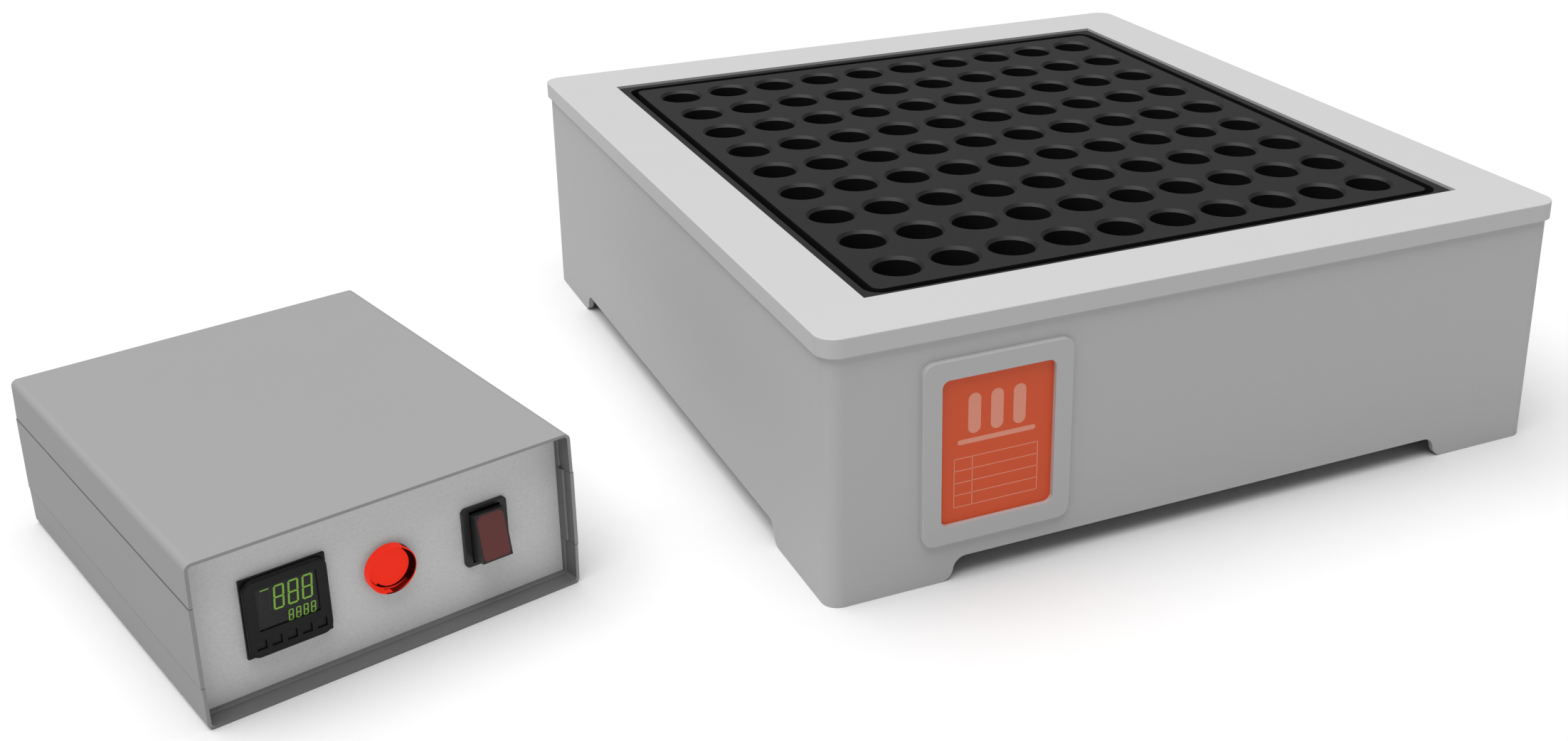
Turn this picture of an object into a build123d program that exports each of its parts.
# Block digester for ninety tubes, with a separate control box beside it.
# Millimetres, +Z up. The origin is on the floor, at the middle of the pair's outline.
from build123d import *
from math import cos, radians, sin
import os

# Digester housing: its outline is the rim's land outside the opening over the block
rim_land_x = 44.45
rim_land_y = 45.05
housing_corner = 10.5
housing_wall = 4.0
skirt_cut_height = 15.0
skirt_cut_run = 17.4
front_foot = 73.0
side_foot = 76.0
gusset_leg = 40.0
gusset_thickness = 8.0

# Top rim
overall_height = 173.6
rim_thickness = 12.0
rim_overhang = 2.75
rim_edge = 0.8
opening_margin_x = 12.75
opening_margin_y = 12.5

# Well block
well_columns = 10
well_rows = 9
column_pitch = 40.0
row_pitch = 50.0
well_radius = 15.0
well_chamfer = 2.0
well_depth = 70.0
block_margin_x = 28.0
block_margin_y = 29.0
block_height = 80.0
block_corner = 6.0
block_drop = 2.0

# Surround and the groove round the block
groove_width = 6.0
groove_depth = 37.0
surround_gap = 0.25
surround_sheet = 2.0
surround_flange = 12.0
foot_gap = 0.3

# Heaters, insulation and base, from the block down
heater_thickness = 4.0
heater_end_inset = 8.0
heater_gap = 14.0
heater_margin = 10.0
clamp_thickness = 3.0
insulation_thickness = 25.0
insulation_side_gap = 2.0
block_side_gap = 0.5
support_thickness = 2.0
base_level = 26.0
base_thickness = 2.0
base_gap = 0.5
pillar_radius = 8.0
pillar_inset_x = 71.2
pillar_inset_y = 72.55
vent_length = 60.0
vent_width = 5.0
vent_pitch = 14.0
ceramic_length = 70.0
ceramic_width = 22.0
ceramic_height = 18.0
ceramic_pitch = 16.0
ceramic_way_radius = 4.0
ceramic_way_depth = 8.0
ceramic_place_x = 55.0
ceramic_rear_gap = 45.55

# Screws and probes
screw_gap = 0.3
thread_gap = 0.05
rim_screw_radius = 2.5
rim_screw_bite = 8.0
clamp_bolt_radius = 3.0
clamp_bolt_bite = 20.0
bolt_offset = 13.0
probe_radius = 1.6
probe_bite = 60.0
probe_fitting_radius = 6.0
probe_fitting_height = 9.0

# Label on the front
label_frame_width = 100.0
label_frame_height = 120.0
label_frame_proud = 3.6
label_border = 12.25
label_frame_corner = 8.0
label_window_corner = 5.0
label_from_side = 109.35
label_level = 87.2
label_sheet = 0.5
label_lap = 3.0
peg_radius = 2.0
peg_inset = 6.5

# Round sockets for the cable between the two units
heater_plug_radius = 11.0
sensor_plug_radius = 6.5
socket_wall = 2.0
socket_flange = 4.5
socket_flange_thickness = 2.5
socket_shroud = 9.0
socket_body = 16.0
contact_radius = 1.2
contact_length = 4.5
socket_level = 44.0
heater_socket_x = 60.0
sensor_socket_x = 110.0

# Control box
box_width = 227.0
box_depth = 286.0
box_height = 100.0
box_x = -605.5
box_y = -252.9
box_turn = 15.34
strip_low = 26.0
strip_high = 74.0
strip_proud = 0.35
cover_draft = 0.45
cover_side_wall = 1.95
cover_floor = 1.8
cover_corner = 4.0
cover_inner_corner = 2.2
panel_setback = 14.4
panel_thickness = 2.0
panel_gap = 0.1
rib_height = 1.3
cover_rib = 3.2
strip_rib = 7.2
tongue_reach = 4.0
tongue_gap = 0.15
post_radius = 4.5
post_inset_x = 12.0
post_inset_y = 32.0
post_screw_radius = 1.5
post_head_radius = 3.0
post_head_height = 2.5

# Row of instruments on the front panel
row_level = 48.2
controller_x = 54.4
instrument_pitch = 60.0

# Temperature controller
bezel_size = 48.0
bezel_flange = 1.8
bezel_front = 47.0
bezel_proud = 5.2
bezel_corner = 6.0
bezel_edge = 1.2
window_width = 34.0
window_height = 25.6
window_rise = 5.0
window_recess = 1.0
window_thickness = 1.5
window_lap = 1.0
key_count = 5
key_pitch = 8.5
key_width = 5.2
key_height = 5.0
key_drop = 15.9
key_recess = 1.2
key_gap = 0.25
key_flange = 0.7
key_flange_thickness = 0.8
key_travel = 0.8
key_wall = 2.8
case_size = 44.6
case_wall = 1.8
case_depth = 80.0
case_gap = 0.2
board_thickness = 1.6
clamp_frame = 58.0
clamp_frame_thickness = 6.0

# Red button
collar_radius = 14.4
collar_wall = 0.9
collar_proud = 5.3
cap_radius = 11.9
cap_gap = 0.35
cap_level = 1.0
cap_thickness = 2.2
cap_travel = 3.0
barrel_radius = 13.5
barrel_length = 11.0
barrel_gap = 0.2
barrel_floor = 2.0
stem_radius = 4.0
stem_length = 14.0
nut_radius = 17.5
nut_thickness = 4.0
contact_block_size = 28.0
contact_block_depth = 30.0

# Rocker switch
rocker_bezel_width = 28.7
rocker_bezel_height = 37.9
rocker_bezel_corner = 3.0
rocker_bezel_proud = 2.4
rocker_opening_gap = 0.4
rocker_body_wall = 1.8
rocker_body_depth = 22.0
paddle_width = 19.0
paddle_height = 29.2
paddle_reach = 11.8
paddle_shoulder = 3.0
paddle_tail = 9.0
rocker_tilt = 13.0
rocker_pivot_depth = 0.2
rocker_pivot_drop = 0.6
pivot_radius = 1.4
pivot_gap = 0.06
pivot_pin = 1.2
lens_rim = 1.0
lens_depth = 2.5
tab_width = 6.3
tab_thickness = 0.8
tab_length = 9.0

# Power parts inside the control box
sink_width = 110.0
sink_length = 80.0
sink_fin_height = 18.0
sink_fin_thickness = 2.0
sink_fins = 10
sink_base = 5.0
sink_x = 150.0
sink_y = 150.0
relay_width = 45.0
relay_length = 58.0
relay_height = 28.0
relay_slot_radius = 4.4
relay_slot_span = 47.6
terminal_width = 90.0
terminal_depth = 20.0
terminal_height = 14.0
terminal_ways = 8
terminal_x = 62.0
terminal_y = 200.0

# Rear of the control box
inlet_x = 45.0
inlet_width = 32.0
inlet_height = 24.0
inlet_wall = 2.0
inlet_flange = 4.0
inlet_flange_thickness = 3.0
inlet_depth = 17.0
blade_width = 8.0
blade_thickness = 2.0
blade_length = 14.0
blade_pitch = 9.0
blade_rise = 6.0
output_x = 175.0
sensor_x = 130.0
fuse_x = 90.0
fuse_radius = 6.0
fuse_cap_radius = 8.0
fuse_cap_length = 8.0
fuse_length = 32.0

# Levels, worked out from the sizes above
housing_height = overall_height - rim_thickness
block_top = overall_height - block_drop
bar_top = block_top - well_chamfer
well_floor = block_top - well_depth
block_bottom = block_top - block_height
block_width = (well_columns - 1) * column_pitch + 2 * block_margin_x
block_depth = (well_rows - 1) * row_pitch + 2 * block_margin_y
opening_width = block_width + 2 * opening_margin_x
opening_depth = block_depth + 2 * opening_margin_y
housing_width = opening_width + 2 * rim_land_x
housing_depth = opening_depth + 2 * rim_land_y
heater_length = block_width - 2 * heater_end_inset
heater_bottom = block_bottom - heater_thickness
clamp_bottom = heater_bottom - clamp_thickness
insulation_bottom = clamp_bottom - insulation_thickness
support_bottom = insulation_bottom - support_thickness
base_top = base_level + base_thickness
inner_width = housing_width - 2 * housing_wall
inner_depth = housing_depth - 2 * housing_wall
pillar_reach_x = inner_width / 2 - pillar_inset_x
pillar_reach_y = inner_depth / 2 - pillar_inset_y
label_place_x = label_from_side - housing_width / 2
surround_width = opening_width - 2 * surround_gap
surround_depth = opening_depth - 2 * surround_gap
surround_bottom = block_top - groove_depth - surround_sheet
bolt_line = row_pitch + bolt_offset
button_x = controller_x + instrument_pitch
rocker_x = button_x + instrument_pitch
rear_panel_face = box_depth - panel_setback

# The pair's outline on the floor, which sets the origin
left_reach = box_x - box_depth * sin(radians(box_turn))
right_reach = housing_width / 2 + rim_overhang
centre_shift = Pos(-(left_reach + right_reach) / 2, 0, 0)
box_place = centre_shift * Pos(box_x, box_y, 0) * Rot(0, 0, box_turn)

os.makedirs("parts", exist_ok=True)


def slab(x, y, z):
    """Returns a box from three (low, high) pairs."""
    middle = Pos((x[0] + x[1]) / 2, (y[0] + y[1]) / 2, (z[0] + z[1]) / 2)
    return middle * Box(x[1] - x[0], y[1] - y[0], z[1] - z[0])


def prism(width, depth, corner, low, high):
    """Returns an upright prism with rounded corners, about the Z axis."""
    if corner > 0:
        outline = RectangleRounded(width, depth, corner)
    else:
        outline = Rectangle(width, depth)
    return extrude(Pos(0, 0, low) * outline, high - low)


def post(x, y, radius, low, high):
    """Returns an upright cylinder."""
    return Pos(x, y, (low + high) / 2) * Cylinder(radius, high - low)


def rod(x, z, radius, near, far):
    """Returns a cylinder along Y, from near to far."""
    return Pos(x, (near + far) / 2, z) * Rot(90, 0, 0) * Cylinder(radius, far - near)


def upright_plate(x, z, width, height, corner, near, far):
    """Returns a plate that stands across Y, with rounded corners."""
    face = RectangleRounded(width, height, corner) if corner > 0 else Rectangle(width, height)
    return Pos(x, far, z) * extrude(Plane.XZ * face, far - near)


def corners(x, y):
    """Returns the four corner places at plus and minus x and y."""
    return [(sx * x, sy * y) for sx in (-1, 1) for sy in (-1, 1)]


def screw(x, y, radius, head_radius, head_height, head_level, tip_level):
    """Returns an upright hexagon screw whose head sits outside head_level, away from its tip."""
    if tip_level > head_level:
        head_bottom = head_level - head_height
        shank = post(x, y, radius, head_level, tip_level)
    else:
        head_bottom = head_level
        shank = post(x, y, radius, tip_level, head_level)
    hexagon = Pos(x, y, head_bottom) * RegularPolygon(head_radius, 6)
    return extrude(hexagon, head_height) + shank


def framed(shape, reach):
    """Cuts a frame across at plus and minus reach into its front, rear, left and right pieces."""
    size = 2 * housing_depth
    high = 2 * overall_height
    front = shape & slab((-size, size), (-size, -reach), (0, high))
    rear = shape & slab((-size, size), (reach, size), (0, high))
    left = shape & slab((-size, 0), (-reach, reach), (0, high))
    right = shape & slab((0, size), (-reach, reach), (0, high))
    return [front, rear, left, right]


def keep(name, shape, place):
    """Moves a finished piece to its place and writes it."""
    solids = shape if isinstance(shape, list) else [shape]
    moved = [place * solid for solid in solids]
    export_step(moved[0] if len(moved) == 1 else Compound(children=moved), f"parts/{name}.step")


# Digester housing


def skirt_profile(half_length):
    """Returns the cut-out under a wall: a flat top with S-curves down to the floor."""
    top = half_length - skirt_cut_run
    middle = (half_length + top) / 2
    rise = skirt_cut_height
    edges = [Line((-top, rise), (top, rise))]
    for side in (-1, 1):
        half_way = (side * middle, rise / 2)
        edges.append(TangentArc((side * half_length, 0), half_way, tangent=(-side, 0)))
        edges.append(TangentArc((side * top, rise), half_way, tangent=(side, 0)))
        edges.append(Line((side * half_length, 0), (side * half_length, -rise)))
    edges.append(Line((-half_length, -rise), (half_length, -rise)))
    return make_face(edges)


def corner_gussets(level):
    """Returns four flat triangles across the inner corners, with their walls' shape."""
    x, y = housing_width / 2, housing_depth / 2
    outline = prism(housing_width, housing_depth, housing_corner, level, level + gusset_thickness)
    gussets = []
    for sx, sy in corners(1, 1):
        reach = gusset_leg + housing_wall
        points = [(sx * x, sy * y), (sx * (x - reach), sy * y), (sx * x, sy * (y - reach))]
        triangle = extrude(Pos(0, 0, level) * make_face(Polyline(*points, close=True)), gusset_thickness)
        if triangle.volume > 0:
            gussets.append(triangle & outline)
    return gussets


def gusset_screw_places():
    """Returns where the screws go through the corner gussets."""
    inset = housing_wall + gusset_leg * 0.3
    return corners(housing_width / 2 - inset, housing_depth / 2 - inset)


def housing_shell():
    """Returns the painted housing's four sheets, with corner gussets and skirt cut-outs."""
    shell = prism(housing_width, housing_depth, housing_corner, 0, housing_height)
    shell -= prism(inner_width, inner_depth, housing_corner - housing_wall, 0, housing_height)
    for level in (base_level - gusset_thickness, housing_height - gusset_thickness):
        for gusset in corner_gussets(level):
            shell += gusset
        for x, y in gusset_screw_places():
            hole = rim_screw_radius + screw_gap
            shell -= post(x, y, hole, level, level + gusset_thickness)
    front = skirt_profile(housing_width / 2 - front_foot)
    side = skirt_profile(housing_depth / 2 - side_foot)
    shell -= extrude(Plane.XZ * front, housing_depth, both=True)
    shell -= extrude(Plane.YZ * side, housing_width, both=True)
    for x, z in label_peg_places():
        shell -= rod(x, z, peg_radius + screw_gap, -housing_depth / 2, -housing_depth / 2 + housing_wall)
    for x, radius in ((heater_socket_x, heater_plug_radius), (sensor_socket_x, sensor_plug_radius)):
        hole = radius + socket_wall + screw_gap
        shell -= rod(x, socket_level, hole, housing_depth / 2 - housing_wall, housing_depth / 2)
    return framed(shell, opening_depth / 2)


def top_rim():
    """Returns the thick light rim's four sides, round the opening over the block."""
    rim = prism(
        housing_width + 2 * rim_overhang,
        housing_depth + 2 * rim_overhang,
        housing_corner + rim_overhang,
        housing_height,
        overall_height,
    )
    rim = fillet(rim.edges().group_by(Axis.Z)[-1], rim_edge)
    rim -= prism(opening_width, opening_depth, 0, housing_height, overall_height)
    for x, y in gusset_screw_places():
        rim -= post(x, y, rim_screw_radius + thread_gap, housing_height, housing_height + rim_screw_bite + 1)
    return framed(rim, opening_depth / 2)


def rim_screws():
    """Returns the screws that hold the rim down, through the upper gussets."""
    seat = housing_height - gusset_thickness
    tip = housing_height + rim_screw_bite
    return [screw(x, y, rim_screw_radius, 4.5, 3.0, seat, tip) for x, y in gusset_screw_places()]


# Well block and surround


def well_columns_x():
    """Returns the columns' places along X, from the left."""
    first = -(well_columns - 1) * column_pitch / 2
    return [first + column * column_pitch for column in range(well_columns)]


def well_rows_y():
    """Returns the rows' places along Y, from the front."""
    first = -(well_rows - 1) * row_pitch / 2
    return [first + row * row_pitch for row in range(well_rows)]


def clamp_bolt_places():
    """Returns the places between the wells where the clamp plate is bolted up."""
    return [(x, y) for x in (-4 * column_pitch, 0, 4 * column_pitch) for y in (-bolt_line, bolt_line)]


def probe_places():
    """Returns the places of the temperature probe and the safety probe."""
    return [(side * 2 * column_pitch, bolt_line) for side in (1, -1)]


def drilled(blank, gap):
    """Drills a piece of the block for the clamp bolts and the probes."""
    for x, y in clamp_bolt_places():
        blank -= post(x, y, clamp_bolt_radius + gap, block_bottom, block_bottom + clamp_bolt_bite + 1)
    for x, y in probe_places():
        blank -= post(x, y, probe_radius + gap, block_bottom, block_bottom + probe_bite + 1)
    return blank


def block_floor():
    """Returns the plate under the bars, which closes the wells."""
    return drilled(prism(block_width, block_depth, block_corner, block_bottom, well_floor), screw_gap)


def well_block():
    """Returns the block's nine bored bars, which stand face to face, one for each row of wells."""
    blank = drilled(prism(block_width, block_depth, block_corner, well_floor, bar_top), thread_gap)
    rows = well_rows_y()
    bars = []
    for y in rows:
        low = -block_depth / 2 if y == rows[0] else y - row_pitch / 2
        high = block_depth / 2 if y == rows[-1] else y + row_pitch / 2
        bar = blank & slab((-block_width / 2, block_width / 2), (low, high), (well_floor, bar_top))
        bars.append(bar - [post(x, y, well_radius, well_floor, bar_top) for x in well_columns_x()])
    return bars


def block_top_plate():
    """Returns the plate over the bars, with the chamfered mouths of the wells."""
    plate = prism(block_width, block_depth, block_corner, bar_top, block_top)
    middle = (bar_top + block_top) / 2
    mouth = Cone(well_radius, well_radius + well_chamfer, well_chamfer)
    return plate - [Pos(x, y, middle) * mouth for y in well_rows_y() for x in well_columns_x()]


def block_surround():
    """Returns the black frame's four sides: flange under the rim, wall, foot beside the block."""
    groove_x = block_width + 2 * groove_width
    groove_y = block_depth + 2 * groove_width
    frame = prism(surround_width, surround_depth, 1.0, surround_bottom, block_top)
    flange_low = housing_height - surround_sheet
    frame += prism(
        surround_width + 2 * surround_flange,
        surround_depth + 2 * surround_flange,
        surround_flange,
        flange_low,
        housing_height,
    )
    floor = surround_bottom + surround_sheet
    frame -= prism(groove_x, groove_y, block_corner + groove_width, floor, block_top)
    near_x = block_width + 2 * foot_gap
    near_y = block_depth + 2 * foot_gap
    frame -= prism(near_x, near_y, block_corner + foot_gap, surround_bottom, floor)
    return framed(frame, block_depth / 2 - block_corner)


# Heaters, insulation and base


def heating_elements():
    """Returns three flat elements under the block, with gaps for bolts and probes."""
    reach = block_depth / 2 - heater_margin
    edge = heater_gap / 2
    spans = [(-reach, -bolt_line - edge), (-bolt_line + edge, bolt_line - edge), (bolt_line + edge, reach)]
    across = (-heater_length / 2, heater_length / 2)
    return [slab(across, span, (heater_bottom, block_bottom)) for span in spans]


def clamp_plate():
    """Returns the plate that presses the elements against the block."""
    plate = prism(heater_length, block_depth - 2 * groove_width, block_corner, clamp_bottom, heater_bottom)
    for x, y in clamp_bolt_places():
        plate -= post(x, y, clamp_bolt_radius + screw_gap, clamp_bottom, heater_bottom)
    for x, y in probe_places():
        plate -= post(x, y, probe_radius + screw_gap, clamp_bottom, heater_bottom)
    return plate


def clamp_bolts():
    """Returns the six bolts through the clamp plate."""
    tip = block_bottom + clamp_bolt_bite
    return [screw(x, y, clamp_bolt_radius, 5.0, 4.0, clamp_bottom, tip) for x, y in clamp_bolt_places()]


def side_insulation():
    """Returns the insulating frame round the block, up to the surround's foot."""
    width = inner_width - 2 * insulation_side_gap
    depth = inner_depth - 2 * insulation_side_gap
    frame = prism(width, depth, housing_corner, clamp_bottom, surround_bottom)
    hole_x = block_width + 2 * block_side_gap
    hole_y = block_depth + 2 * block_side_gap
    return frame - prism(hole_x, hole_y, block_corner, clamp_bottom, surround_bottom)


def base_insulation():
    """Returns the board under the block, with pockets for bolt heads and holes for probes."""
    width = inner_width - 2 * insulation_side_gap
    depth = inner_depth - 2 * insulation_side_gap
    board = prism(width, depth, housing_corner, insulation_bottom, clamp_bottom)
    for x, y in clamp_bolt_places():
        board -= post(x, y, 6.5, clamp_bottom - 6.0, clamp_bottom)
    for x, y in probe_places():
        board -= post(x, y, probe_radius + screw_gap, insulation_bottom, clamp_bottom)
    return board


def support_plate():
    """Returns the sheet that carries the insulation board."""
    width = inner_width - 2 * insulation_side_gap
    depth = inner_depth - 2 * insulation_side_gap
    plate = prism(width, depth, housing_corner, support_bottom, insulation_bottom)
    for x, y in probe_places():
        plate -= post(x, y, probe_radius + screw_gap, support_bottom, insulation_bottom)
    return plate


def probe(place):
    """Returns one metal probe with the fitting that holds it under the support plate."""
    x, y = place
    low = support_bottom - probe_fitting_height
    sheath = post(x, y, probe_radius, low, block_bottom + probe_bite)
    hexagon = Pos(x, y, low) * RegularPolygon(probe_fitting_radius, 6)
    return sheath + extrude(hexagon, probe_fitting_height)


def support_pillars():
    """Returns the pillars between the base plate and the support plate."""
    places = corners(pillar_reach_x, pillar_reach_y) + [(0, 0)]
    return [post(x, y, pillar_radius, base_top, support_bottom) for x, y in places]


def base_plate():
    """Returns the bottom sheet on the lower gussets, with two rows of air slots."""
    width = inner_width - 2 * base_gap
    depth = inner_depth - 2 * base_gap
    plate = prism(width, depth, housing_corner - housing_wall, base_level, base_top)
    for x, y in gusset_screw_places():
        plate -= post(x, y, rim_screw_radius + screw_gap, base_level, base_top)
    slot = extrude(SlotOverall(vent_length, vent_width), base_thickness)
    for side in (-1, 1):
        for step in range(4):
            y = (step - 1.5) * vent_pitch
            plate -= Pos(side * pillar_reach_x / 2, y, base_level) * slot
    return plate


def base_screws():
    """Returns the screws through the base plate into the lower gussets."""
    tip = base_level - gusset_thickness
    return [screw(x, y, rim_screw_radius, 4.5, 3.0, base_top, tip) for x, y in gusset_screw_places()]


def ceramic_terminals():
    """Returns the terminal block on the base plate, with its wire ways."""
    top = base_top + ceramic_height
    middle = inner_depth / 2 - ceramic_rear_gap - ceramic_width / 2
    body = Pos(ceramic_place_x, middle, 0) * prism(ceramic_length, ceramic_width, 0, base_top, top)
    for step in range(4):
        x = ceramic_place_x + (step - 1.5) * ceramic_pitch
        body -= post(x, middle, ceramic_way_radius, top - ceramic_way_depth, top)
    return body


# Label on the front


def label_peg_places():
    """Returns the places of the frame's pegs, in x and height."""
    x = label_frame_width / 2 - peg_inset
    z = label_frame_height / 2 - peg_inset
    return [(label_place_x + px, label_level + pz) for px, pz in corners(x, z)]


def label_frame():
    """Returns the raised frame: rounded outline, window, rebate for the plate, pegs."""
    face = -housing_depth / 2
    front = face - label_frame_proud
    x, z = label_place_x, label_level
    frame = upright_plate(x, z, label_frame_width, label_frame_height, label_frame_corner, front, face)
    frame = fillet(frame.edges().group_by(Axis.Y)[0], rim_edge)
    width = label_frame_width - 2 * label_border
    height = label_frame_height - 2 * label_border
    frame -= upright_plate(x, z, width, height, label_window_corner, front, face)
    lap = 2 * label_lap + 2 * thread_gap
    frame -= upright_plate(x, z, width + lap, height + lap, 0, face - label_sheet, face)
    for peg_x, peg_z in label_peg_places():
        frame += rod(peg_x, peg_z, peg_radius, face - 1, face + housing_wall + 2)
    return frame


def label_plate():
    """Returns the thin plate held against the housing by the frame."""
    face = -housing_depth / 2
    width = label_frame_width - 2 * label_border + 2 * label_lap
    height = label_frame_height - 2 * label_border + 2 * label_lap
    return upright_plate(label_place_x, label_level, width, height, 0, face - label_sheet, face)


# Round sockets, used on both units


def round_socket(x, z, plug_radius, outer_face, inner_face):
    """Returns a socket in a rear wall: flange, shroud outside, closed body inside."""
    outer = plug_radius + socket_wall
    flange_face = outer_face + socket_flange_thickness
    body = rod(x, z, outer, inner_face - socket_body, outer_face + socket_shroud)
    size = 2 * (outer + socket_flange)
    body += upright_plate(x, z, size, size, socket_flange, outer_face, flange_face)
    return body - rod(x, z, plug_radius, outer_face, outer_face + socket_shroud)


def socket_contacts(x, z, plug_radius, outer_face, count):
    """Returns a ring of contact pins on the socket's floor."""
    pins = []
    for step in range(count):
        angle = radians(360 * step / count + 45)
        pin_x = x + plug_radius * 0.72 * cos(angle)
        pin_z = z + plug_radius * 0.72 * sin(angle)
        pins.append(rod(pin_x, pin_z, contact_radius, outer_face, outer_face + contact_length))
    return pins


# Control box covers


def box_side(height):
    """Returns how far a cover's side is inside the strips' faces at a height."""
    seam = strip_low if height < box_height / 2 else strip_high
    reach = strip_low
    return strip_proud + cover_draft * abs(seam - height) / reach


def cover_section(top):
    """Returns a cover's section across the box: drafted sides, rounded long edges."""
    seam = strip_high if top else strip_low
    outer = box_height if top else 0
    inner = box_height - cover_floor if top else cover_floor
    x_seam, x_outer = box_side(seam), box_side(outer)
    skin = make_face(
        Polyline(
            (x_seam, seam),
            (x_outer, outer),
            (box_width - x_outer, outer),
            (box_width - x_seam, seam),
            close=True,
        )
    )
    outer_corners = skin.vertices().filter_by(lambda v: abs(v.Y - outer) < 0.01)
    skin = fillet(outer_corners, cover_corner)
    x_seam += cover_side_wall
    x_outer += cover_side_wall
    hollow = make_face(
        Polyline(
            (x_seam, seam),
            (x_outer, inner),
            (box_width - x_outer, inner),
            (box_width - x_seam, seam),
            close=True,
        )
    )
    inner_corners = hollow.vertices().filter_by(lambda v: abs(v.Y - inner) < 0.01)
    hollow = fillet(inner_corners, cover_inner_corner)
    return skin - hollow, hollow


def panel_slots():
    """Returns the (low, high) depths of the front and the rear panel."""
    front = (panel_setback, panel_setback + panel_thickness)
    rear = (rear_panel_face - panel_thickness, rear_panel_face)
    return front, rear


def post_places():
    """Returns where the covers' screw posts stand."""
    xs = (post_inset_x, box_width - post_inset_x)
    ys = (post_inset_y, box_depth - post_inset_y)
    return [(x, y) for x in xs for y in ys]


def cover(top):
    """Returns the top or bottom cover with its panel ribs and screw posts."""
    section, hollow = cover_section(top)
    skin = Pos(0, box_depth, 0) * extrude(Plane.XZ * section, box_depth)
    seam = strip_high if top else strip_low
    outer = box_height if top else 0
    low, high = sorted((seam, outer))
    core = Pos(0, box_depth, 0) * extrude(Plane.XZ * hollow, box_depth)
    for near, far in panel_slots():
        for rib_near in (near - cover_rib - panel_gap, far + panel_gap):
            rib = core & slab((0, box_width), (rib_near, rib_near + cover_rib), (low, high))
            side = strip_proud + cover_side_wall + rib_height
            floor = cover_floor + rib_height
            level = (seam, outer - floor) if top else (floor, seam)
            rib -= slab((side, box_width - side), (rib_near, rib_near + cover_rib), level)
            skin += rib
    middle = box_height / 2
    for x, y in post_places():
        span = (middle, outer - cover_floor / 2) if top else (cover_floor / 2, middle)
        skin += post(x, y, post_radius, *span)
    for x, y in post_places():
        if top:
            skin -= post(x, y, post_screw_radius + thread_gap, middle, middle + 16)
        else:
            skin -= post(x, y, post_screw_radius + screw_gap, 0, middle)
            skin -= post(x, y, post_head_radius + screw_gap, 0, post_head_height + 0.5)
    return skin


def cover_screws():
    """Returns the long screws that pull the covers together from below."""
    seat = post_head_height + 0.5
    tip = box_height / 2 + 15
    return [screw(x, y, post_screw_radius, post_head_radius, post_head_height, seat, tip) for x, y in post_places()]


def side_strip(right):
    """Returns a side strip with its panel ribs and the tongue that hides the seams."""
    thickness = strip_proud + cover_side_wall
    strip = slab((0, thickness), (0, box_depth), (strip_low, strip_high))
    ridge = (thickness, thickness + rib_height)
    (front_near, front_far), (rear_near, rear_far) = panel_slots()
    ribs = [
        (front_near - strip_rib - panel_gap, front_near - panel_gap),
        (rear_far + panel_gap, rear_far + panel_gap + strip_rib),
    ]
    for near, far in ribs:
        strip += slab(ridge, (near, far), (strip_low, strip_high))
    inner_near = front_far + panel_gap
    inner_far = rear_near - panel_gap
    strip += slab(ridge, (inner_near, inner_far), (strip_low, strip_high))
    clear = cover_rib + 1.0
    tongue_x = (thickness + tongue_gap, thickness + rib_height)
    for low, high in ((strip_low - tongue_reach, strip_low), (strip_high, strip_high + tongue_reach)):
        strip += slab(tongue_x, (inner_near + clear, inner_far - clear), (low, high))
    if right:
        return Pos(box_width, 0, 0) * mirror(strip, Plane.YZ)
    return strip


def panel_blank(depths):
    """Returns a flat panel that fills the covers' slot, before its cut-outs."""
    side = box_side(0) + cover_side_wall + panel_gap
    low = cover_floor + panel_gap
    blank = slab((side, box_width - side), depths, (low, box_height - low))
    edges = blank.edges().filter_by(Axis.Y)
    return fillet(edges, cover_inner_corner + 0.3)


def front_panel():
    """Returns the front panel with its three cut-outs."""
    near, far = panel_slots()[0]
    panel = panel_blank((near, far))
    cut = case_size + 2 * case_gap
    panel -= upright_plate(controller_x, row_level, cut, cut, 0, near, far)
    panel -= rod(button_x, row_level, barrel_radius + barrel_gap, near, far)
    width, height = rocker_body_size()
    gap = 2 * case_gap
    return panel - upright_plate(rocker_x, row_level, width + gap, height + gap, 0, near, far)


def rear_panel():
    """Returns the rear panel with its cut-outs for inlet, fuse and sockets."""
    near, far = panel_slots()[1]
    panel = panel_blank((near, far))
    width = inlet_width + 2 * inlet_wall + 2 * case_gap
    height = inlet_height + 2 * inlet_wall + 2 * case_gap
    panel -= upright_plate(inlet_x, row_level, width, height, 0, near, far)
    panel -= rod(fuse_x, row_level, fuse_radius + case_gap, near, far)
    panel -= rod(output_x, row_level, heater_plug_radius + socket_wall + case_gap, near, far)
    return panel - rod(sensor_x, row_level, sensor_plug_radius + socket_wall + case_gap, near, far)


# Temperature controller


def key_places():
    """Returns the keys' middles along the panel."""
    middle = (key_count - 1) / 2
    return [controller_x + (step - middle) * key_pitch for step in range(key_count)]


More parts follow.
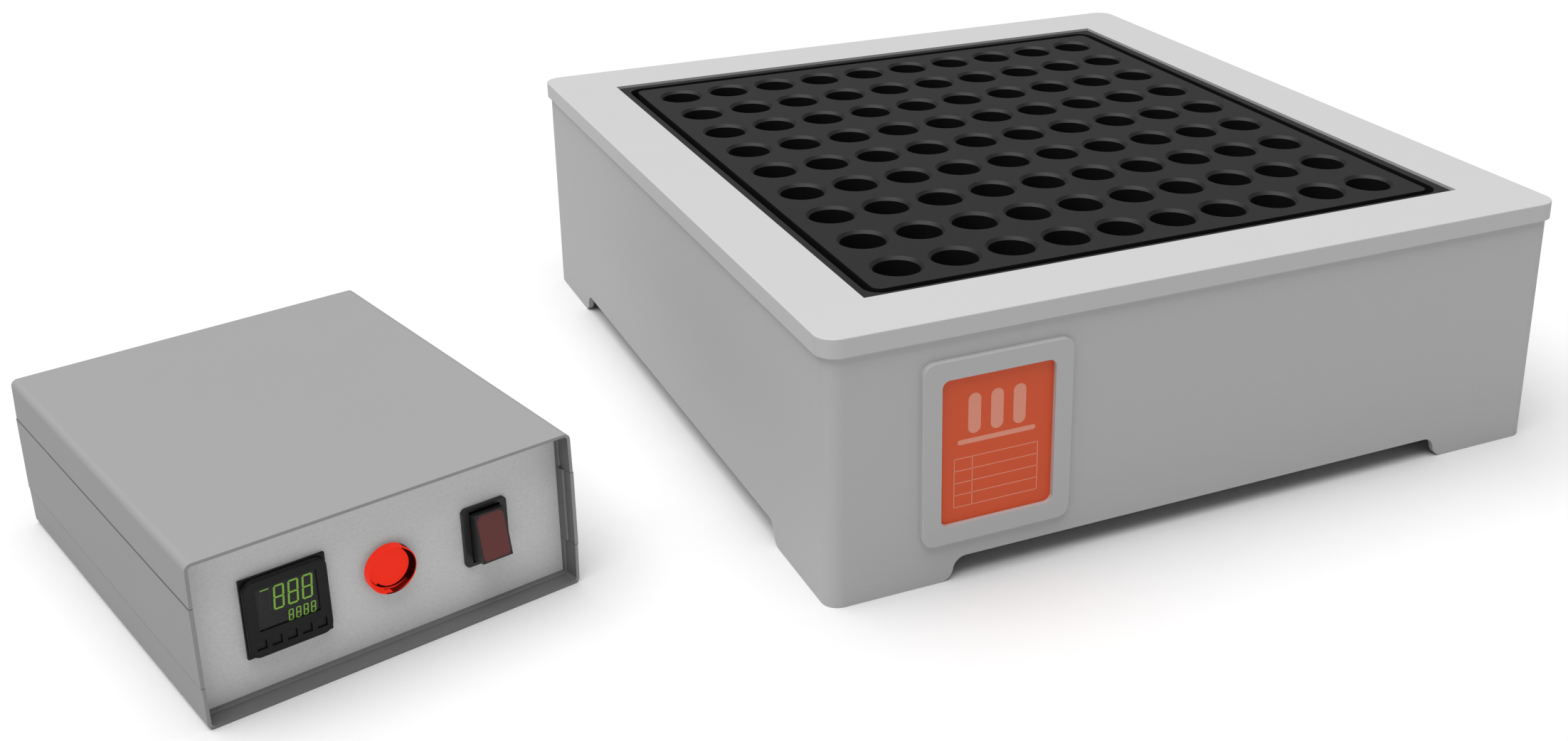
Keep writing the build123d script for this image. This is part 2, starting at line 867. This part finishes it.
def controller_bezel():
    """Returns the controller's front: thin flange, rounded face, window and key openings."""
    face = panel_setback - bezel_proud
    flange = panel_setback - bezel_flange
    front = upright_plate(controller_x, row_level, bezel_front, bezel_front, bezel_corner, face, flange)
    front = fillet(front.edges().group_by(Axis.Y)[0], bezel_edge)
    bezel = front + upright_plate(controller_x, row_level, bezel_size, bezel_size, 0, flange, panel_setback)
    z = row_level + window_rise
    shoulder = face + window_recess
    bezel -= upright_plate(controller_x, z, window_width, window_height, 0, face, panel_setback)
    lap = 2 * window_lap + 2 * thread_gap
    bezel -= upright_plate(controller_x, z, window_width + lap, window_height + lap, 0, shoulder, panel_setback)
    z = row_level - key_drop
    span = (key_count - 1) * key_pitch + key_width + 4 * key_flange
    tall = key_height + 4 * key_flange
    bezel -= upright_plate(controller_x, z, span, tall, 0, face + key_wall, panel_setback)
    gap = 2 * key_gap
    for x in key_places():
        bezel -= upright_plate(x, z, key_width + gap, key_height + gap, 0, face, face + key_wall)
    return bezel


def display_window():
    """Returns the clear dark window behind the bezel's opening."""
    near = panel_setback - bezel_proud + window_recess
    width = window_width + 2 * window_lap
    height = window_height + 2 * window_lap
    z = row_level + window_rise
    return upright_plate(controller_x, z, width, height, 0, near, near + window_thickness)


def key_cap(x):
    """Returns one key: a square cap with a flange behind the bezel."""
    near = panel_setback - bezel_proud + key_recess
    stop = panel_setback - bezel_proud + key_wall
    z = row_level - key_drop
    cap = upright_plate(x, z, key_width, key_height, 0.4, near, stop + key_flange_thickness)
    wide = key_width + 2 * key_flange
    tall = key_height + 2 * key_flange
    return cap + upright_plate(x, z, wide, tall, 0, stop, stop + key_flange_thickness)


def controller_case():
    """Returns the controller's case behind the panel: an open box with a closed back."""
    far = panel_setback + case_depth
    inner = case_size - 2 * case_wall
    case = upright_plate(controller_x, row_level, case_size, case_size, 0, panel_setback, far)
    return case - upright_plate(controller_x, row_level, inner, inner, 0, panel_setback, far - case_wall)


def display_board():
    """Returns the board behind the bezel, with the display and the key switches on it."""
    size = case_size - 2 * case_wall - 2 * thread_gap
    near = panel_setback + key_travel
    board = upright_plate(controller_x, row_level, size, size, 0, near, near + board_thickness)
    behind_window = panel_setback - bezel_proud + window_recess + window_thickness
    z = row_level + window_rise
    width, height = window_width - 2, window_height - 2
    board += upright_plate(controller_x, z, width, height, 0, behind_window, near)
    key_back = panel_setback - bezel_proud + key_wall + key_flange_thickness
    switch_front = key_back + key_travel + 0.1
    for x in key_places():
        board += upright_plate(x, row_level - key_drop, 3.0, 3.0, 0, switch_front, near)
    return board


def controller_clamp():
    """Returns the frame that clamps the controller from behind the panel."""
    near = panel_slots()[0][1]
    far = near + clamp_frame_thickness
    hole = case_size + 2 * thread_gap
    frame = upright_plate(controller_x, row_level, clamp_frame, clamp_frame, 3.0, near, far)
    return frame - upright_plate(controller_x, row_level, hole, hole, 0, near, far)


# Red button


def button_collar():
    """Returns the red collar with its threaded barrel, revolved about the button's axis."""
    bore = cap_radius + cap_gap
    back = barrel_length
    outline = Polyline(
        (bore, -cap_level),
        (collar_radius - collar_wall, -cap_level),
        (collar_radius - collar_wall, -collar_proud),
        (collar_radius, -collar_proud),
        (collar_radius, 0),
        (barrel_radius, 0),
        (barrel_radius, back),
        (stem_radius + cap_gap, back),
        (stem_radius + cap_gap, back - barrel_floor),
        (bore, back - barrel_floor),
        close=True,
    )
    ring = revolve(make_face(outline), Axis.Y)
    return Pos(button_x, panel_setback, row_level) * ring


def button_cap():
    """Returns the flat red cap with the stem that works the contacts."""
    near = panel_setback - cap_level
    disc = rod(button_x, row_level, cap_radius, near, near + cap_thickness)
    disc = chamfer(disc.edges().group_by(Axis.Y)[0], 0.4)
    return disc + rod(button_x, row_level, stem_radius, near + cap_thickness, near + cap_thickness + stem_length)


def button_nut():
    """Returns the hexagon nut behind the panel."""
    near = panel_slots()[0][1]
    blank = extrude(Plane.XZ * RegularPolygon(nut_radius, 6), nut_thickness)
    nut = Pos(button_x, near + nut_thickness, row_level) * blank
    return nut - rod(button_x, row_level, barrel_radius + thread_gap, near, near + nut_thickness)


def contact_block():
    """Returns the contact block on the barrel's end, with the stem's bore."""
    near = panel_setback + barrel_length
    size = contact_block_size
    block = upright_plate(button_x, row_level, size, size, 1.5, near, near + contact_block_depth)
    deep = stem_length + cap_travel + 1.0
    return block - rod(button_x, row_level, stem_radius + cap_gap, near, near + deep)


# Rocker switch


def rocker_opening():
    """Returns the width and height of the hole that the paddle swings in."""
    tilt = radians(rocker_tilt)
    behind = rocker_bezel_proud + rocker_pivot_depth
    half = paddle_height / 2 / cos(tilt) + behind * sin(tilt) / cos(tilt)
    height = 2 * (half + rocker_opening_gap + rocker_pivot_drop)
    return paddle_width + 2 * rocker_opening_gap, height


def rocker_body_size():
    """Returns the outer width and height of the rocker's body behind the panel."""
    width, height = rocker_opening()
    return width + 2 * rocker_body_wall, height + 2 * rocker_body_wall


def pivot_place():
    """Returns the paddle's pivot, in depth and height."""
    return panel_setback + rocker_pivot_depth, row_level - rocker_pivot_drop


def rocker_bezel():
    """Returns the rocker's bezel and the hollow body behind it, with bearings for the pins."""
    near = panel_setback - rocker_bezel_proud
    far = panel_setback + rocker_body_depth
    z = row_level
    bezel = upright_plate(
        rocker_x, z, rocker_bezel_width, rocker_bezel_height, rocker_bezel_corner, near, panel_setback
    )
    bezel = fillet(bezel.edges().group_by(Axis.Y)[0], 0.6)
    width, height = rocker_body_size()
    bezel += upright_plate(rocker_x, z, width, height, 0, panel_setback, far)
    width, height = rocker_opening()
    bezel -= upright_plate(rocker_x, z, width, height, 0, near, far - rocker_body_wall)
    pivot_y, pivot_z = pivot_place()
    reach = paddle_width + 2 * (rocker_opening_gap + pivot_pin + pivot_gap)
    return bezel - Pos(rocker_x, pivot_y, pivot_z) * Rot(0, 90, 0) * Cylinder(pivot_radius + pivot_gap, reach)


def paddle_at_rest(shape):
    """Tilts a shape drawn about the pivot to its place at rest, with the top pressed in."""
    pivot_y, pivot_z = pivot_place()
    return Pos(rocker_x, pivot_y, pivot_z) * Rot(-rocker_tilt, 0, 0) * shape


def lens_slab(gap):
    """Returns the red lens's shape in the paddle's face, grown by a gap."""
    width = paddle_width - 2 * lens_rim + 2 * gap
    height = paddle_height - 2 * lens_rim + 2 * gap
    return upright_plate(0, 0, width, height, 1.0, -paddle_reach, -paddle_reach + lens_depth)


def rocker_paddle():
    """Returns the black paddle: wedge-shaped sides, pocket for the lens, two pivot pins."""
    half = paddle_height / 2
    outline = Polyline(
        (-paddle_reach, -half),
        (-paddle_reach, half),
        (paddle_shoulder, half),
        (paddle_tail, half * 0.4),
        (paddle_tail, -half * 0.4),
        (paddle_shoulder, -half),
        close=True,
    )
    paddle = extrude(Plane.YZ * make_face(outline), paddle_width / 2, both=True)
    paddle -= lens_slab(thread_gap)
    pins = Rot(0, 90, 0) * Cylinder(pivot_radius, paddle_width + 2 * (rocker_opening_gap + pivot_pin))
    return paddle_at_rest(paddle + pins)


def rocker_lens():
    """Returns the red lens in the paddle's face."""
    return paddle_at_rest(lens_slab(0))


def rocker_tabs():
    """Returns the flat terminals behind the rocker's body."""
    near = panel_setback + rocker_body_depth
    tabs = []
    for step in (-1, 0, 1):
        z = row_level + step * 9
        tabs.append(upright_plate(rocker_x, z, tab_width, tab_thickness, 0, near, near + tab_length))
    return tabs


# Power parts inside the box


def heat_sink():
    """Returns the relay's heat sink, with its fins down on the bottom cover."""
    x = (sink_x - sink_width / 2, sink_x + sink_width / 2)
    y = (sink_y - sink_length / 2, sink_y + sink_length / 2)
    top = cover_floor + sink_fin_height
    sink = slab(x, y, (top, top + sink_base))
    step = (sink_width - sink_fin_thickness) / (sink_fins - 1)
    for fin in range(sink_fins):
        left = x[0] + fin * step
        sink += slab((left, left + sink_fin_thickness), y, (cover_floor, top))
    return sink


def relay():
    """Returns the solid-state relay, with its screw wells and stepped terminals."""
    low = cover_floor + sink_fin_height + sink_base
    x = (sink_x - relay_width / 2, sink_x + relay_width / 2)
    y = (sink_y - relay_length / 2, sink_y + relay_length / 2)
    body = slab(x, y, (low, low + relay_height))
    step = relay_length * 0.22
    for ends in ((y[0], y[0] + step), (y[1] - step, y[1])):
        body -= slab(x, ends, (low + relay_height * 0.7, low + relay_height))
    for side in (-1, 1):
        body -= post(sink_x, sink_y + side * relay_slot_span / 2, relay_slot_radius, low + 5, low + relay_height)
    return body


def terminal_strip():
    """Returns the terminal strip on the bottom cover."""
    x = (terminal_x - terminal_width / 2, terminal_x + terminal_width / 2)
    y = (terminal_y - terminal_depth / 2, terminal_y + terminal_depth / 2)
    top = cover_floor + terminal_height
    strip = slab(x, y, (cover_floor, top))
    way = terminal_width / terminal_ways
    for step in range(1, terminal_ways):
        wall = x[0] + step * way
        strip += slab((wall - 0.8, wall + 0.8), y, (top, top + 4))
    return strip


# Rear of the control box


def power_inlet():
    """Returns the mains inlet: flange outside the panel, deep pocket for the plug."""
    far = rear_panel_face + inlet_flange_thickness
    bottom = far - inlet_depth
    width = inlet_width + 2 * inlet_wall
    height = inlet_height + 2 * inlet_wall
    body = upright_plate(inlet_x, row_level, width, height, 0, bottom - 6, rear_panel_face)
    wide = width + 2 * inlet_flange
    tall = height + 2 * inlet_flange
    body += upright_plate(inlet_x, row_level, wide, tall, inlet_flange, rear_panel_face, far)
    return body - upright_plate(inlet_x, row_level, inlet_width, inlet_height, 2.0, bottom, far)


def inlet_blades():
    """Returns the three blades on the inlet's floor."""
    near = rear_panel_face + inlet_flange_thickness - inlet_depth
    z = row_level + blade_rise
    blades = []
    for step in (-1, 0, 1):
        x = inlet_x + step * blade_pitch
        blades.append(upright_plate(x, z, blade_thickness, blade_width, 0, near, near + blade_length))
    return blades


def fuse_holder():
    """Returns the fuse holder: knurled cap outside, barrel inside."""
    cap = rod(fuse_x, row_level, fuse_cap_radius, rear_panel_face, rear_panel_face + fuse_cap_length)
    cap = chamfer(cap.edges().group_by(Axis.Y)[-1], 1.0)
    return cap + rod(fuse_x, row_level, fuse_radius, rear_panel_face - fuse_length, rear_panel_face)


# Digester pieces
rear_outer = housing_depth / 2
rear_inner = rear_outer - housing_wall
digester = {
    "housing_shell": housing_shell(),
    "top_rim": top_rim(),
    "rim_screws": rim_screws(),
    "well_block": well_block(),
    "block_top_plate": block_top_plate(),
    "block_floor": block_floor(),
    "block_surround": block_surround(),
    "heating_elements": heating_elements(),
    "clamp_plate": clamp_plate(),
    "clamp_bolts": clamp_bolts(),
    "side_insulation": side_insulation(),
    "base_insulation": base_insulation(),
    "support_plate": support_plate(),
    "temperature_probe": probe(probe_places()[0]),
    "safety_probe": probe(probe_places()[1]),
    "support_pillars": support_pillars(),
    "base_plate": base_plate(),
    "base_screws": base_screws(),
    "ceramic_terminals": ceramic_terminals(),
    "label_frame": label_frame(),
    "label_plate": label_plate(),
    "heater_socket": round_socket(heater_socket_x, socket_level, heater_plug_radius, rear_outer, rear_inner),
    "sensor_socket": round_socket(sensor_socket_x, socket_level, sensor_plug_radius, rear_outer, rear_inner),
    "digester_contacts": (
        socket_contacts(heater_socket_x, socket_level, heater_plug_radius, rear_outer, 5)
        + socket_contacts(sensor_socket_x, socket_level, sensor_plug_radius, rear_outer, 4)
    ),
}
for name, shape in digester.items():
    keep(name, shape, centre_shift)

# Control box pieces
panel_outer = rear_panel_face
panel_inner = rear_panel_face - panel_thickness
control_box = {
    "top_cover": cover(True),
    "bottom_cover": cover(False),
    "cover_screws": cover_screws(),
    "left_strip": side_strip(False),
    "right_strip": side_strip(True),
    "front_panel": front_panel(),
    "rear_panel": rear_panel(),
    "controller_bezel": controller_bezel(),
    "display_window": display_window(),
    "controller_case": controller_case(),
    "display_board": display_board(),
    "controller_clamp": controller_clamp(),
    "button_collar": button_collar(),
    "button_cap": button_cap(),
    "button_nut": button_nut(),
    "contact_block": contact_block(),
    "rocker_bezel": rocker_bezel(),
    "rocker_paddle": rocker_paddle(),
    "rocker_lens": rocker_lens(),
    "rocker_tabs": rocker_tabs(),
    "heat_sink": heat_sink(),
    "relay": relay(),
    "terminal_strip": terminal_strip(),
    "power_inlet": power_inlet(),
    "inlet_blades": inlet_blades(),
    "fuse_holder": fuse_holder(),
    "output_socket": round_socket(output_x, row_level, heater_plug_radius, panel_outer, panel_inner),
    "sensor_inlet": round_socket(sensor_x, row_level, sensor_plug_radius, panel_outer, panel_inner),
    "box_contacts": (
        socket_contacts(output_x, row_level, heater_plug_radius, panel_outer, 5)
        + socket_contacts(sensor_x, row_level, sensor_plug_radius, panel_outer, 4)
    ),
}
for number, key_x in enumerate(key_places(), start=1):
    control_box[f"key_{number}"] = key_cap(key_x)
for name, shape in control_box.items():
    keep(name, shape, box_place)
